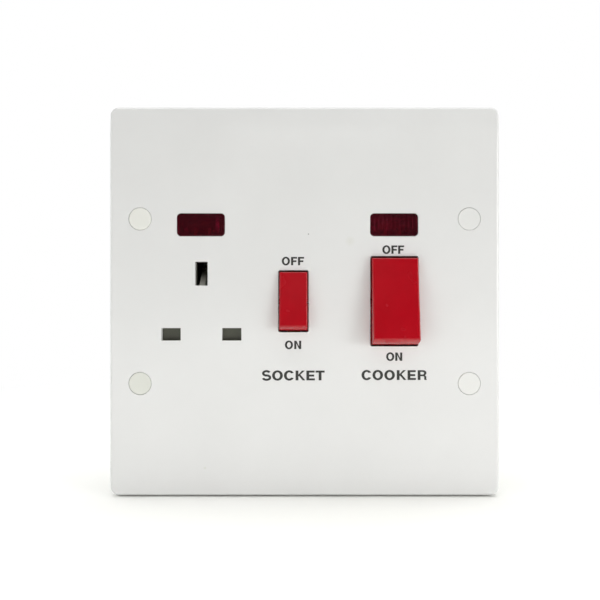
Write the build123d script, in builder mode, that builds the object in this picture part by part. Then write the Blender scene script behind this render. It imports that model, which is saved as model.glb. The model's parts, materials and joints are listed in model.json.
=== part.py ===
from build123d import *
from math import cos, radians, sin, sqrt, tan
import os

# Cooker control unit: a 45 A double-pole cooker switch and a 13 A switched socket on one plate.
# Millimetres. X runs right and Z up along the plate, Y runs into the wall.
# The origin is the middle of the fixing pattern, in the wall plane behind the plate.

# Front plate
plate_side = 143.0
plate_depth = 9.0
plate_corner = 3.0
face_wall = 2.5
side_wall = 2.4
edge_round = 1.3
roll_length = 10.0
roll_drop = 0.8

# Fixing holes and their caps
fixing_x = 120.6
fixing_z = 60.3
fixing_hole = 4.1
fixing_boss = 11.4
cap_diameter = 8.4
cap_seat = 3.4
cap_height = 2.5
cap_wall = 0.9
cap_proud = 0.15
cap_gap = 0.12

# Socket outlet pins
pin_pitch = 22.23
earth_x = -37.85
earth_z = 10.1
earth_slot_width = 4.6
earth_slot_height = 8.7
line_slot_width = 7.1
line_slot_height = 4.6
earth_pin_width = 4.0
earth_pin_height = 8.0
earth_pin_length = 22.7
line_pin_width = 6.35
line_pin_height = 4.0
line_pin_length = 17.7

# Shutter over the live and neutral slots
shutter_thickness = 2.5
shutter_gap = 0.3
shutter_overlap = 1.2
shutter_travel = 6.0
stem_width = 3.8
ramp_width = 2.1
ramp_offset = -0.2
ramp_depth = 6.0
shutter_spring_radius = 1.0
shutter_spring_wire = 0.3
shutter_spring_turns = 5

# Rockers, both at off: the top end is in and the bottom end is out
rocker_tilt = 9.0
pivot_depth = 2.2
rocker_gap = 0.45
swing_gap = 0.5
aperture_corner = 0.7
rocker_wall = 1.8
rocker_skirt = 2.0
rocker_round = 0.6
trunnion_radius = 1.0
trunnion_length = 2.3
trunnion_gap = 0.05
ear_thickness = 2.2
ear_half_height = 4.5
ear_depth = 4.0
cooker_rocker_x = 32.9
cooker_aperture_width = 17.7
cooker_rocker_height = 29.8
cooker_rocker_proud = 2.1
cooker_end_gap = 1.65
socket_rocker_x = -4.1
socket_aperture_width = 11.1
socket_rocker_height = 20.2
socket_rocker_proud = 1.2
socket_end_gap = 1.25

# Plungers in the rockers and the rocking contacts that they push
plunger_radius = 1.45
plunger_gap = 0.1
plunger_clear = 0.45
plunger_tail = 3.0
boss_radius = 2.45
boss_reach = 6.0
plunger_spring_wire = 0.35
plunger_spring_turns = 4
contact_tilt = 9.0
contact_width = 5.0
contact_thickness = 1.3
contact_crown = 2.0
contact_vee = 12.0
contact_vee_reach = 4.0
contact_upper_arm = 11.5
contact_lower_arm = 7.0
contact_seat = 2.2
fulcrum_radius = 1.0
fulcrum_gap = 0.05
fulcrum_post = 1.6
rivet_radius = 2.0
rivet_height = 1.1
rivet_place = 9.3
rivet_round = 0.5
closed_gap = 0.12
contact_stand = 3.0
pole_offset = 4.4

# Metal strips and terminals
strip = 1.2
strip_height = 5.0
link_z = -21.5
link_gap = 1.8
terminal_side = 9.5
terminal_height = 11.0
terminal_bore = 6.6
terminal_depth = 9.5
terminal_offset = 6.0
earth_terminal_x = -4.0
earth_terminal_pitch = 9.0
earth_strip_drop = 10.5
screw_shank = 4.3
screw_head = 5.6
screw_head_height = 2.2
screw_slot = 0.8
screw_clear = 0.05

# Pin clips
clip_wall = 0.8
clip_grip = 0.2
clip_flare = 1.1
clip_front = 1.0
clip_play = 1.7

# Housings and rear covers
housing_wall = 1.6
well_gap = 0.45
room = 0.3
cooker_housing_width = 28.0
housing_boss_gap = 0.4
socket_housing_right = 7.5
socket_housing_bottom = -29.6
socket_housing_top = 26.5
socket_housing_rear = 19.5
well_floor = 3.0
chamber_half_height = 14.8
cover_thickness = 1.5
cover_hole = 6.4

# Screws that hold each housing and its cover to the plate
case_screw = 2.5
case_screw_head = 5.0
case_screw_head_height = 1.6
case_screw_hole = 3.0
spigot_radius = 2.8
spigot_height = 5.0
spigot_gap = 0.15
spigot_skin = 1.0
cooker_screw_ledge = 3.2
cooker_screw_z = 12.0
socket_screw_edge = 4.4
socket_screw_low = 2.6
socket_screw_side = 7.9
socket_screw_top = 5.3
socket_screw_middle = -22.0

# Neon indicators
socket_neon_x = -38.0
cooker_neon_x = 32.8
neon_rise = 1.0
lens_width = 17.5
lens_height = 8.3
lens_corner = 1.5
lens_gap = 0.08
lens_proud = 0.15
lens_flange = 1.5
lens_flange_thickness = 1.2
rib_pitch = 1.0
rib_depth = 0.45
lamp_radius = 2.7
lamp_length = 12.0
lamp_depth = 7.8
resistor_radius = 1.3
resistor_length = 7.0
resistor_depth = 13.2
lead_radius = 0.35
lead_bend = 0.6
saddle_thickness = 1.2
saddle_offset = 2.6
lamp_room_width = 18.6
lamp_room_height = 9.4
lamp_room_rear = 7.4

# Places worked out from the sizes above
face_y = -plate_depth
inner_y = face_y + face_wall
pivot_y = face_y + pivot_depth
neutral_x = earth_x - pin_pitch / 2
live_x = earth_x + pin_pitch / 2
line_z = earth_z - pin_pitch
shutter_front = inner_y + shutter_gap
shutter_rear = shutter_front + shutter_thickness
recess_y = shutter_rear + shutter_gap
neutral_link_rear = face_y + line_pin_length + clip_play
neutral_link_y = neutral_link_rear - strip
terminal_y = neutral_link_rear + link_gap
earth_strip_y = face_y + earth_pin_length + clip_play
earth_strip_rear = earth_strip_y + strip
earth_strip_z = socket_housing_top - earth_strip_drop
earth_terminal_y = socket_housing_rear - room - terminal_side
cooker_housing_rear = terminal_y + terminal_side + room
socket_contact_y = neutral_link_rear - contact_stand
cooker_contact_y = terminal_y - contact_stand
block_top = chamber_half_height + strip + terminal_height
neon_z = block_top + neon_rise
socket_housing_left = fixing_boss / 2 + housing_boss_gap - fixing_x / 2
cooker_aperture_height = cooker_rocker_height + 2 * cooker_end_gap
socket_aperture_height = socket_rocker_height + 2 * socket_end_gap
cooker_screw_x = cooker_housing_width / 2 + cooker_screw_ledge
fixing_places = [(x, z) for x in (-fixing_x / 2, fixing_x / 2) for z in (-fixing_z / 2, fixing_z / 2)]
cooker_screws = [
    (cooker_rocker_x + sx * cooker_screw_x, sz * cooker_screw_z) for sx in (-1, 1) for sz in (-1, 1)
]
socket_screws = [
    (socket_housing_left + socket_screw_edge, socket_housing_top - socket_screw_side),
    (socket_screw_middle, socket_housing_top - socket_screw_top),
    (socket_housing_left + socket_screw_edge, socket_housing_bottom + socket_screw_low),
    (socket_housing_right - socket_screw_edge, socket_housing_bottom + socket_screw_low),
]
case_screws = [(x, z, socket_housing_rear) for x, z in socket_screws]
case_screws += [(x, z, cooker_housing_rear) for x, z in cooker_screws]


# Helpers: a box between limits, and rods along each axis
def between(x, y, z, mode=Mode.ADD):
    with Locations(((x[0] + x[1]) / 2, (y[0] + y[1]) / 2, (z[0] + z[1]) / 2)):
        Box(x[1] - x[0], y[1] - y[0], z[1] - z[0], mode=mode)


def about(middle, half):
    return (middle - half, middle + half)


def rod_x(x, y, z, radius, mode=Mode.ADD):
    with Locations(Location(((x[0] + x[1]) / 2, y, z), (0, 90, 0))):
        Cylinder(radius, x[1] - x[0], mode=mode)


def rod_y(x, y, z, radius, mode=Mode.ADD):
    with Locations(Location((x, (y[0] + y[1]) / 2, z), (90, 0, 0))):
        Cylinder(radius, y[1] - y[0], mode=mode)


def rod_z(x, y, z, radius, mode=Mode.ADD):
    with Locations((x, y, (z[0] + z[1]) / 2)):
        Cylinder(radius, z[1] - z[0], mode=mode)


# A plane for a side profile: its x runs up and its y forward, turned about a pivot on the X axis.
# A positive turn brings the top forward.
def side_plane(x, y, turn):
    a = radians(turn)
    return Plane(origin=(x, y, 0), x_dir=(0, -sin(a), cos(a)), z_dir=(1, 0, 0))


# The same, seen square on: its x runs right, its y up and its z forward
def front_plane(x, y, turn):
    a = radians(turn)
    return Plane(origin=(x, y, 0), x_dir=(1, 0, 0), z_dir=(0, -cos(a), -sin(a)))


os.makedirs("parts", exist_ok=True)


def save(builder, label):
    builder.part.label = label
    export_step(builder.part, f"parts/{label}.step")


# Front plate: a shallow moulded tray whose face rolls back a little at the top and the bottom
half_side = plate_side / 2
roll_start = half_side - roll_length
switches = [
    (cooker_rocker_x, cooker_aperture_width, cooker_aperture_height),
    (socket_rocker_x, socket_aperture_width, socket_aperture_height),
]

with BuildPart() as front_plate:
    with BuildSketch(Plane.YZ):
        with BuildLine():
            Polyline(
                (face_y + roll_drop, half_side),
                (0, half_side),
                (0, -half_side),
                (face_y + roll_drop, -half_side),
            )
            TangentArc(
                (face_y, -roll_start),
                (face_y + roll_drop, -half_side),
                tangent=(0, -1),
            )
            Line((face_y, -roll_start), (face_y, roll_start))
            TangentArc(
                (face_y, roll_start),
                (face_y + roll_drop, half_side),
                tangent=(0, 1),
            )
        make_face()
    extrude(amount=half_side, both=True)
    corners = front_plate.edges().filter_by(Axis.Y)
    fillet(corners, plate_corner)
    front_rim = front_plate.edges().filter_by(lambda e: e.center().Y < face_y + roll_drop + 0.5)
    outer_rim = front_rim.filter_by(
        lambda e: max(abs(e.center().X), abs(e.center().Z)) > half_side - plate_corner
    )
    fillet(outer_rim, edge_round)
    with BuildSketch(Plane.XZ):
        inner_side = plate_side - 2 * side_wall
        RectangleRounded(inner_side, inner_side, plate_corner - side_wall / 2)
    extrude(amount=plate_depth - face_wall, mode=Mode.SUBTRACT)
    for x, z in fixing_places:
        rod_y(x, (inner_y, 0), z, fixing_boss / 2)
        rod_y(x, (face_y, face_y + cap_seat), z, cap_diameter / 2, Mode.SUBTRACT)
        rod_y(x, (face_y, 0), z, fixing_hole / 2, Mode.SUBTRACT)
    for x, z, _ in case_screws:
        rod_y(x, (inner_y, inner_y + spigot_height), z, spigot_radius)
        pilot = (face_y + spigot_skin, inner_y + spigot_height)
        rod_y(x, pilot, z, case_screw / 2 + screw_clear / 2, Mode.SUBTRACT)
    for x, width, height in switches:
        with BuildSketch(Plane.XZ.offset(plate_depth)):
            with Locations((x, 0)):
                RectangleRounded(width, height, aperture_corner)
        extrude(amount=-face_wall, mode=Mode.SUBTRACT)
        for side in (-1, 1):
            ear = sorted((x + side * width / 2, x + side * (width / 2 + ear_thickness)))
            between(ear, (inner_y, inner_y + ear_depth), about(0, ear_half_height))
            notch = trunnion_radius + trunnion_gap
            rod_x(ear, pivot_y, 0, notch, Mode.SUBTRACT)
            between(ear, (pivot_y, inner_y + ear_depth), about(0, notch), Mode.SUBTRACT)
    slots = [(earth_x, earth_z, earth_slot_width, earth_slot_height)]
    slots += [(x, line_z, line_slot_width, line_slot_height) for x in (neutral_x, live_x)]
    for x, z, width, height in slots:
        between(about(x, width / 2), (face_y, inner_y), about(z, height / 2), Mode.SUBTRACT)
    with BuildSketch(Plane.XZ.offset(plate_depth)):
        with Locations((socket_neon_x, neon_z), (cooker_neon_x, neon_z)):
            RectangleRounded(lens_width + 2 * lens_gap, lens_height + 2 * lens_gap, lens_corner)
    extrude(amount=-face_wall, mode=Mode.SUBTRACT)
save(front_plate, "front_plate")


# Caps that close the four fixing holes: shallow cups with a rounded rim
cap_names = ["lower_left", "upper_left", "lower_right", "upper_right"]
for (x, z), name in zip(fixing_places, cap_names):
    with BuildPart() as screw_cap:
        cap_front = face_y - cap_proud
        cap_radius = cap_diameter / 2 - cap_gap
        rod_y(x, (cap_front, cap_front + cap_height), z, cap_radius)
        fillet(screw_cap.edges().group_by(Axis.Y)[0], cap_proud + 0.15)
        rod_y(x, (cap_front + cap_wall, cap_front + cap_height), z, cap_radius - cap_wall, Mode.SUBTRACT)
    save(screw_cap, f"screw_cap_{name}")


# Neon lenses: a window that fills the plate's opening and a flange behind it
def neon_lens(x, label, ribbed):
    with BuildPart() as lens:
        between(
            about(x, lens_width / 2 + lens_flange),
            (inner_y, inner_y + lens_flange_thickness),
            about(neon_z, lens_height / 2 + lens_flange),
        )
        with BuildSketch(Plane.XZ.offset(-inner_y)):
            with Locations((x, neon_z)):
                RectangleRounded(lens_width, lens_height, lens_corner)
        extrude(amount=face_wall + lens_proud)
        fillet(lens.edges().group_by(Axis.Y)[0], 2 * lens_proud)
        if ribbed:
            count = int((lens_width - 2 * lens_corner) / rib_pitch)
            rear = inner_y + lens_flange_thickness
            for i in range(count):
                rib_x = x + (i - (count - 1) / 2) * rib_pitch
                groove = about(rib_x, rib_pitch / 4)
                between(groove, (rear - rib_depth, rear), about(neon_z, lens_height / 2), Mode.SUBTRACT)
    save(lens, label)


neon_lens(socket_neon_x, "socket_neon_lens", False)
neon_lens(cooker_neon_x, "cooker_neon_lens", True)

lamp_y = face_y + lamp_depth
resistor_y = face_y + resistor_depth


# Neon lamps and their series resistors lie across the unit, one behind the other
def neon_lamp(x, label):
    with BuildPart() as lamp:
        rod_x(about(x, lamp_length / 2), lamp_y, neon_z, lamp_radius)
        fillet(lamp.edges().group_by(Axis.X)[0], lamp_radius * 0.8)
    save(lamp, label)


def neon_resistor(x, label):
    with BuildPart() as resistor:
        rod_x(about(x, resistor_length / 2), resistor_y, neon_z, resistor_radius)
        fillet(resistor.edges().filter_by(GeomType.CIRCLE), resistor_radius / 3)
    save(resistor, label)


# A lead is a round wire along straight runs with small bends
def lead(points):
    with BuildLine() as path:
        FilletPolyline(*points, radius=lead_bend)
    with BuildSketch(Plane(origin=path.line @ 0, z_dir=path.line % 0)) as section:
        Circle(lead_radius)
    sweep(section.sketch, path=path.line)


neutral_pole = cooker_rocker_x + terminal_offset
live_pole = cooker_rocker_x - terminal_offset
terminal_middle = terminal_y + terminal_side / 2
lead_y = neutral_link_rear + strip / 2
clip_top = line_z + line_pin_height / 2 + clip_wall
live_strip_x = (socket_rocker_x + live_x) / 2
live_strip_top = rivet_place + strip_height / 2
lead_level = socket_housing_top - housing_wall - lead_radius

for x, name in ((socket_neon_x, "socket"), (cooker_neon_x, "cooker")):
    neon_lamp(x, f"{name}_neon_lamp")
    neon_resistor(x, f"{name}_neon_resistor")

link_x = lamp_length / 2 + 2.0
near_x = lamp_length / 2 + 1.7
inner_x = resistor_length / 2 + 1.4

with BuildPart() as cooker_neon_leads:
    x = cooker_neon_x
    solder_y = terminal_y + strip / 2 + lead_radius
    between_y = lamp_room_rear + housing_wall + 1.5
    lead([
        (x + lamp_length / 2, lamp_y, neon_z),
        (x + link_x, lamp_y, neon_z),
        (x + link_x, resistor_y, neon_z),
        (x + resistor_length / 2, resistor_y, neon_z),
    ])
    lead([
        (x - lamp_length / 2, lamp_y, neon_z),
        (x - near_x, lamp_y, neon_z),
        (x - near_x, solder_y, neon_z),
        (x - near_x, solder_y, block_top),
    ])
    lead([
        (x - resistor_length / 2, resistor_y, neon_z),
        (x - inner_x, resistor_y, neon_z),
        (x - inner_x, between_y, neon_z),
        (neutral_pole - 2, between_y, neon_z),
        (neutral_pole - 2, solder_y, neon_z),
        (neutral_pole - 2, solder_y, block_top),
    ])
save(cooker_neon_leads, "cooker_neon_leads")

with BuildPart() as socket_neon_leads:
    x = socket_neon_x
    lead([
        (x + lamp_length / 2, lamp_y, neon_z),
        (x + link_x, lamp_y, neon_z),
        (x + link_x, resistor_y, neon_z),
        (x + resistor_length / 2, resistor_y, neon_z),
    ])
    lead([
        (x - lamp_length / 2, lamp_y, neon_z),
        (x - near_x, lamp_y, neon_z),
        (x - near_x, lead_y, neon_z),
        (x - near_x, lead_y, clip_top),
    ])
    lead([
        (x - resistor_length / 2, resistor_y, neon_z),
        (x - inner_x, resistor_y, neon_z),
        (x - inner_x, lead_y, neon_z),
        (x - inner_x, lead_y, lead_level),
        (live_strip_x, lead_y, lead_level),
        (live_strip_x, lead_y, live_strip_top),
    ])
save(socket_neon_leads, "socket_neon_leads")


# Shutter: a blade across both slots, a stem and a thin ramp that the earth pin pushes down
blade_bottom = line_z - line_slot_height / 2 - shutter_overlap
blade_top = line_z + line_slot_height / 2 + shutter_overlap
ramp_foot = earth_z - earth_pin_height / 2 - 0.8
ramp_x = earth_x + ramp_offset

with BuildPart() as shutter:
    blade_reach = pin_pitch / 2 + line_slot_width / 2 + shutter_overlap
    thickness = (shutter_front, shutter_rear)
    between(about(earth_x, blade_reach), thickness, (blade_bottom, blade_top))
    between(about(earth_x, stem_width / 2), thickness, (blade_top, ramp_foot))
    with BuildSketch(Plane.YZ.offset(ramp_x)):
        with BuildLine():
            Polyline(
                (shutter_front, ramp_foot - shutter_thickness),
                (shutter_front, ramp_foot),
                (shutter_front + ramp_depth, ramp_foot + ramp_depth),
                (shutter_front + ramp_depth, ramp_foot + ramp_depth - shutter_thickness),
                (shutter_rear, ramp_foot - shutter_thickness),
                close=True,
            )
        make_face()
    extrude(amount=ramp_width / 2, both=True)
save(shutter, "shutter")


# A coil spring along Z between two levels
def coil(x, y, z, radius, wire, turns):
    height = z[1] - z[0] - 2 * wire
    with BuildLine() as path:
        Helix(pitch=height / turns, height=height, radius=radius - wire, center=(x, y, z[0] + wire))
    with BuildSketch(Plane(origin=path.line @ 0, z_dir=path.line % 0)) as section:
        Circle(wire)
    sweep(section.sketch, path=path.line, is_frenet=True)


spring_ledge = blade_bottom - shutter_travel - 3.0
spring_y = (shutter_front + shutter_rear) / 2
with BuildPart() as shutter_spring:
    levels = (spring_ledge, blade_bottom)
    coil(earth_x, spring_y, levels, shutter_spring_radius, shutter_spring_wire, shutter_spring_turns)
save(shutter_spring, "shutter_spring")


# Rockers: a flat face, a short straight step at each end, then an arc about the pivot that swings
# just inside the aperture. They are hollow from behind.
def rocker_front(height, proud):
    turn = radians(rocker_tilt)
    return (proud + pivot_depth + height / 2 * sin(turn)) / cos(turn)


def rocker(x, aperture_width, aperture_height, height, proud, poles, label):
    half = height / 2
    front = rocker_front(height, proud)
    radius = aperture_height / 2 - swing_gap
    step = sqrt(radius**2 - half**2)
    half_width = aperture_width / 2 - rocker_gap
    skirt = sqrt(radius**2 - rocker_skirt**2)
    inner_radius = radius - rocker_wall
    inner_front = front - rocker_wall
    inner_half = sqrt(inner_radius**2 - inner_front**2)
    inner_skirt = sqrt(inner_radius**2 - rocker_skirt**2)
    side = side_plane(x, pivot_y, -rocker_tilt)
    square = front_plane(x, pivot_y, -rocker_tilt)
    with BuildPart() as body:
        with BuildSketch(side):
            with BuildLine():
                Polyline((-half, step), (-half, front), (half, front), (half, step))
                ThreePointArc((half, step), (sqrt(radius**2 - 1), 1), (skirt, -rocker_skirt))
                Line((skirt, -rocker_skirt), (-skirt, -rocker_skirt))
                ThreePointArc((-skirt, -rocker_skirt), (-sqrt(radius**2 - 1), 1), (-half, step))
            make_face()
        extrude(amount=half_width, both=True)
        face = body.faces().sort_by(Axis(square.origin, square.z_dir))[-1]
        fillet(face.edges(), rocker_round)
        with BuildSketch(side):
            with BuildLine():
                Line((-inner_half, inner_front), (inner_half, inner_front))
                mid = sqrt(inner_radius**2 - 1)
                ThreePointArc((inner_half, inner_front), (mid, 1), (inner_skirt, -rocker_skirt))
                Line((inner_skirt, -rocker_skirt), (-inner_skirt, -rocker_skirt))
                ThreePointArc((-inner_skirt, -rocker_skirt), (-mid, 1), (-inner_half, inner_front))
            make_face()
        extrude(amount=half_width - rocker_wall, both=True, mode=Mode.SUBTRACT)
        trunnion = square * Rot(0, 90, 0)
        add(trunnion * Cylinder(trunnion_radius, 2 * (half_width + trunnion_length), mode=Mode.PRIVATE))
        hollow = 2 * (half_width - rocker_wall)
        add(trunnion * Cylinder(trunnion_radius + 1, hollow, mode=Mode.PRIVATE), mode=Mode.SUBTRACT)
        for pole in poles:
            length = inner_front + boss_reach
            centre = square * Pos(pole - x, 0, (inner_front - boss_reach) / 2)
            add(centre * Cylinder(boss_radius, length, mode=Mode.PRIVATE))
            bore = Cylinder(plunger_radius + plunger_gap, length, mode=Mode.PRIVATE)
            add(centre * bore, mode=Mode.SUBTRACT)
    save(body, label)


cooker_poles = [cooker_rocker_x - pole_offset, cooker_rocker_x + pole_offset]
rocker(
    cooker_rocker_x,
    cooker_aperture_width,
    cooker_aperture_height,
    cooker_rocker_height,
    cooker_rocker_proud,
    cooker_poles,
    "cooker_rocker",
)
rocker(
    socket_rocker_x,
    socket_aperture_width,
    socket_aperture_height,
    socket_rocker_height,
    socket_rocker_proud,
    [socket_rocker_x],
    "socket_rocker",
)


# Plungers slide in the rocker's bosses, each pushed by a spring against its rocking contact
def plunger(x, pole, contact_y, label):
    reach = contact_y - contact_crown - plunger_clear - pivot_y
    square = front_plane(pole, pivot_y, -rocker_tilt)
    with BuildPart() as body:
        tail = -boss_reach + plunger_tail
        middle = square * Pos(0, 0, (tail - reach + plunger_radius) / 2)
        add(middle * Cylinder(plunger_radius, tail + reach - plunger_radius, mode=Mode.PRIVATE))
        add(square * Pos(0, 0, plunger_radius - reach) * Sphere(plunger_radius, mode=Mode.PRIVATE))
    save(body, label)


def plunger_spring(pole, front, label):
    square = front_plane(pole, pivot_y, -rocker_tilt)
    low = -boss_reach + plunger_tail + plunger_spring_wire
    high = front - rocker_wall - plunger_spring_wire
    with BuildPart() as body:
        with BuildLine() as path:
            Helix(
                pitch=(high - low) / plunger_spring_turns,
                height=high - low,
                radius=plunger_radius - plunger_spring_wire,
                center=square.origin + low * square.z_dir,
                direction=square.z_dir,
            )
        with BuildSketch(Plane(origin=path.line @ 0, z_dir=path.line % 0)):
            Circle(plunger_spring_wire)
        sweep(path=path.line, is_frenet=True)
    save(body, label)


# A rocking contact: a bent bar with a groove that sits on its fulcrum, shown at off
def moving_contact(pole, contact_y, label):
    arm_front = contact_crown + contact_vee_reach * tan(radians(contact_vee))
    arm_rear = arm_front - contact_thickness
    shoulder = contact_seat + arm_rear
    with BuildPart() as body:
        with BuildSketch(side_plane(pole, contact_y, contact_tilt)):
            with BuildLine():
                Polyline(
                    (-contact_lower_arm, arm_front),
                    (-contact_vee_reach, arm_front),
                    (0, contact_crown),
                    (contact_vee_reach, arm_front),
                    (contact_upper_arm, arm_front),
                    (contact_upper_arm, arm_rear),
                    (shoulder, arm_rear),
                    (contact_seat, 0),
                    (-contact_seat, 0),
                    (-shoulder, arm_rear),
                    (-contact_lower_arm, arm_rear),
                    close=True,
                )
            make_face()
            Circle(fulcrum_radius + fulcrum_gap, mode=Mode.SUBTRACT)
        extrude(amount=contact_width / 2, both=True)
    save(body, label)


def moving_rivet(pole, contact_y, label):
    arm_rear = contact_crown + contact_vee_reach * tan(radians(contact_vee)) - contact_thickness
    square = front_plane(pole, contact_y, contact_tilt)
    with BuildPart() as body:
        seat = square * Pos(0, rivet_place, arm_rear - rivet_height / 2)
        add(seat * Cylinder(rivet_radius, rivet_height, mode=Mode.PRIVATE))
        rear = body.edges().sort_by(Axis(square.origin, square.z_dir))[0]
        fillet(rear, rivet_round)
    save(body, label)


poles = [
    (socket_rocker_x, socket_rocker_x, socket_contact_y, "socket"),
    (cooker_poles[0], cooker_rocker_x, cooker_contact_y, "cooker_live"),
    (cooker_poles[1], cooker_rocker_x, cooker_contact_y, "cooker_neutral"),
]
cooker_front = rocker_front(cooker_rocker_height, cooker_rocker_proud)
socket_front = rocker_front(socket_rocker_height, socket_rocker_proud)
for pole, x, contact_y, name in poles:
    front = socket_front if name == "socket" else cooker_front
    plunger(x, pole, contact_y, f"{name}_plunger")
    plunger_spring(pole, front, f"{name}_plunger_spring")
    moving_contact(pole, contact_y, f"{name}_moving_contact")
    moving_rivet(pole, contact_y, f"{name}_moving_rivet")


# The fixed rivets stand where the moving ones arrive when the contact is closed
def closed_face(contact_y):
    arm_rear = contact_crown + contact_vee_reach * tan(radians(contact_vee)) - contact_thickness
    reach = rivet_place + rivet_radius - rivet_round * 0.7
    turn = radians(contact_tilt)
    return contact_y + reach * sin(turn) - (arm_rear - rivet_height) * cos(turn) + closed_gap


with BuildPart() as fixed_rivets:
    for pole, _, contact_y, name in poles:
        base = neutral_link_rear if name == "socket" else terminal_y
        rod_y(pole, (closed_face(contact_y), base), rivet_place, rivet_radius)
save(fixed_rivets, "fixed_rivets")


# A fulcrum: a post with a round ridge that the rocking contact sits on
def fulcrum(pole, contact_y, tab_y):
    width = about(pole, contact_width / 2)
    between(width, (contact_y, tab_y), about(0, fulcrum_post / 2))
    rod_x(width, contact_y, 0, fulcrum_radius)


# A terminal block with a blind tunnel for the cable and a hole for its screw
def terminal_block(x, y, end, tunnels, side_width):
    low, high = sorted((end, end - terminal_height if end > 0 else end + terminal_height))
    between(about(x, side_width / 2), (y, y + terminal_side), (low, high))
    middle = y + terminal_side / 2
    deep = end - terminal_depth if end > 0 else end + terminal_depth
    for tunnel in tunnels:
        rod_z(tunnel, middle, sorted((deep, end)), terminal_bore / 2, Mode.SUBTRACT)
        hole = (middle, y + terminal_side)
        rod_y(tunnel, hole, (low + high) / 2, screw_shank / 2 + screw_clear, Mode.SUBTRACT)


# Cooker terminals: load at the top with the fixed contact, supply at the bottom with the fulcrum
for pole, block_x, name in (
    (cooker_poles[0], live_pole, "live"),
    (cooker_poles[1], neutral_pole, "neutral"),
):
    tab = about(pole, contact_width / 2)
    with BuildPart() as load_terminal:
        terminal_block(block_x, terminal_y, block_top, [block_x], terminal_side)
        between(tab, (terminal_y, terminal_y + strip), (rivet_place - strip_height / 2, block_top - strip))
    save(load_terminal, f"cooker_{name}_load_terminal")
    with BuildPart() as supply_terminal:
        terminal_block(block_x, terminal_y, -block_top, [block_x], terminal_side)
        between(tab, (terminal_y, terminal_y + strip), (strip - block_top, fulcrum_radius))
        fulcrum(pole, cooker_contact_y, terminal_y)
    save(supply_terminal, f"cooker_{name}_supply_terminal")

# Live link: from the live supply terminal to the fulcrum of the socket's switch
link_height = about(link_z, strip_height / 2)
live_side = live_pole - terminal_side / 2
with BuildPart() as live_link:
    levels = (terminal_y, terminal_y + strip)
    between((socket_rocker_x - contact_width / 2, live_side), levels, link_height)
    tab = about(socket_rocker_x, contact_width / 2)
    between(tab, levels, (link_height[0], fulcrum_radius))
    fulcrum(socket_rocker_x, socket_contact_y, terminal_y)
save(live_link, "live_link")

# Neutral link: passes in front of the live terminal to the neutral clip
with BuildPart() as neutral_link:
    levels = (neutral_link_y, neutral_link_rear)
    foot = about(neutral_pole, contact_width / 2)
    between((neutral_x - line_pin_width / 2, foot[1]), levels, link_height)
    between(foot, (neutral_link_y, terminal_y), link_height)
save(neutral_link, "neutral_link")


# A clip's two leaves: they close in to grip the pin and flare at the mouth
def leaf_profile(base, grip, mouth):
    front = clip_front
    throat = front + 2.5
    return [
        (base, mouth),
        (throat, grip),
        (front, grip + clip_flare),
        (front, grip + clip_flare + clip_wall),
        (throat, grip + clip_wall),
        (base, mouth + clip_wall),
    ]


def line_clip(x):
    base = neutral_link_rear
    grip = line_pin_height / 2 - clip_grip
    for side in (-1, 1):
        points = [(y, line_z + side * z) for y, z in leaf_profile(base, grip, line_pin_height / 2)]
        with BuildSketch(Plane.YZ.offset(x)) as leaf:
            with BuildLine():
                Polyline(*points, close=True)
            make_face()
        extrude(leaf.sketch, amount=line_pin_width / 2, both=True)
    half = line_pin_height / 2 + clip_wall
    between(about(x, line_pin_width / 2), (base, base + strip), about(line_z, half))


# Neutral clip: its tail lies on the neutral link
with BuildPart() as neutral_contact:
    line_clip(neutral_x)
    tail = (link_height[0], line_z)
    between(about(neutral_x, line_pin_width / 2), (neutral_link_rear, neutral_link_rear + strip), tail)
save(neutral_contact, "neutral_contact")

# Live clip: its strip climbs to the fixed contact of the socket's switch
with BuildPart() as live_contact:
    line_clip(live_x)
    levels = (neutral_link_rear, neutral_link_rear + strip)
    riser = about(live_strip_x, strip_height / 2)
    between((live_x, riser[1]), levels, about(line_z, line_pin_height / 2))
    between(riser, levels, (line_z - line_pin_height / 2, live_strip_top))
    arm = (riser[0], socket_rocker_x + contact_width / 2)
    between(arm, levels, about(rivet_place, strip_height / 2))
save(live_contact, "live_contact")

# Earth clip: its leaves stand left and right of the pin, and a strip runs to the earth terminal
earth_block_width = 2 * earth_terminal_pitch
earth_block_left = earth_terminal_x - earth_block_width / 2
earth_block_top = socket_housing_top
earth_block_bottom = earth_block_top - terminal_height
with BuildPart() as earth_contact:
    grip = earth_pin_width / 2 - clip_grip
    leaf_height = earth_pin_height - 1
    for side in (-1, 1):
        points = [
            (earth_x + side * across, y)
            for y, across in leaf_profile(earth_strip_y, grip, earth_pin_width / 2)
        ]
        with BuildSketch(Plane.XY.offset(earth_z)) as leaf:
            with BuildLine():
                Polyline(*points, close=True)
            make_face()
        extrude(leaf.sketch, amount=leaf_height / 2, both=True)
    levels = (earth_strip_y, earth_strip_rear)
    base_half = earth_pin_width / 2 + clip_wall
    between(about(earth_x, base_half), levels, about(earth_z, leaf_height / 2))
    strip_z = about(earth_strip_z, strip_height / 2)
    between(about(earth_x, base_half), levels, (earth_z, strip_z[1]))
    between((earth_x, earth_block_left), levels, strip_z)
save(earth_contact, "earth_contact")

earth_tunnels = [earth_terminal_x + side * earth_terminal_pitch / 2 for side in (-1, 1)]
with BuildPart() as earth_terminal:
    terminal_block(earth_terminal_x, earth_terminal_y, earth_block_top, earth_tunnels, earth_block_width)
save(earth_terminal, "earth_terminal")


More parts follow.
